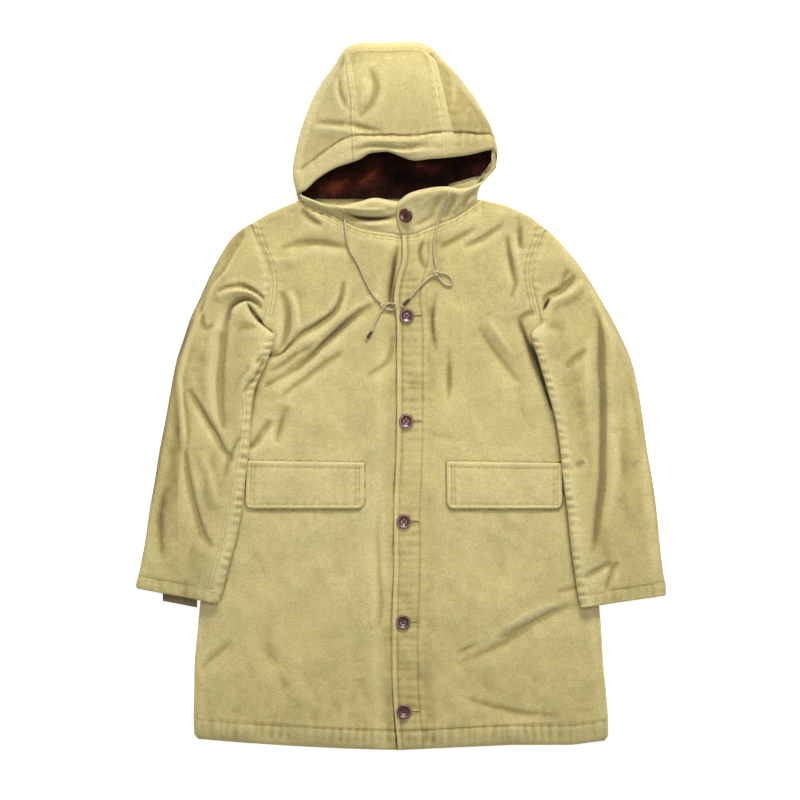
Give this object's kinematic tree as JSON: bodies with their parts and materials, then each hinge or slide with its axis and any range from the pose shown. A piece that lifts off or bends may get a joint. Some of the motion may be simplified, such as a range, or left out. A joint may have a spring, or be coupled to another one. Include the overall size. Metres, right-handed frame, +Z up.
{
  "type": "deck parka",
  "caption": "Hooded cotton deck parka with a pile lining, laid flat on its back, fronts buttoned, sleeves beside the body and drawcords on the chest.",
  "frame": {"origin": "on the floor under the middle of the laid-out garment", "axes": "+Z up out of the fronts, +Y from the hem to the hood, -X towards the wearer's right sleeve"},
  "size_m": [0.9, 1.2007, 0.0616],
  "materials": {
    "shell_cloth": "faded khaki ribbed cotton, close weave, soft sheen, paler along seams and edges",
    "pile_lining": "dark red-brown wool pile, deep and matt",
    "knit_cuff": "dark khaki-brown rib knit",
    "button_plastic": "dark red-brown moulded plastic, glossy with worn rims",
    "drawcord_braid": "khaki braided cotton cord",
    "cord_tip": "dark dipped tip with a bare pale end"
  },
  "bodies": {
    "root": {"back": "shell_cloth", "front_right": "shell_cloth", "front_left": "shell_cloth", "sleeve_right": "shell_cloth", "sleeve_left": "shell_cloth", "cuff_knit_right": "knit_cuff", "cuff_knit_left": "knit_cuff", "hood_centre": "shell_cloth", "hood_side_right": "shell_cloth", "hood_side_left": "shell_cloth", "hood_facing": "shell_cloth", "hood_lining": "pile_lining", "throat_right": "shell_cloth", "throat_left": "shell_cloth", "pocket_flap_right": "shell_cloth", "pocket_flap_left": "shell_cloth", "button_1": "button_plastic", "button_2": "button_plastic", "button_3": "button_plastic", "button_4": "button_plastic", "button_5": "button_plastic", "button_throat": "button_plastic", "drawcord_right": "drawcord_braid", "drawcord_left": "drawcord_braid", "cord_tip_right": "cord_tip", "cord_tip_left": "cord_tip"}
  },
  "joints": []
}
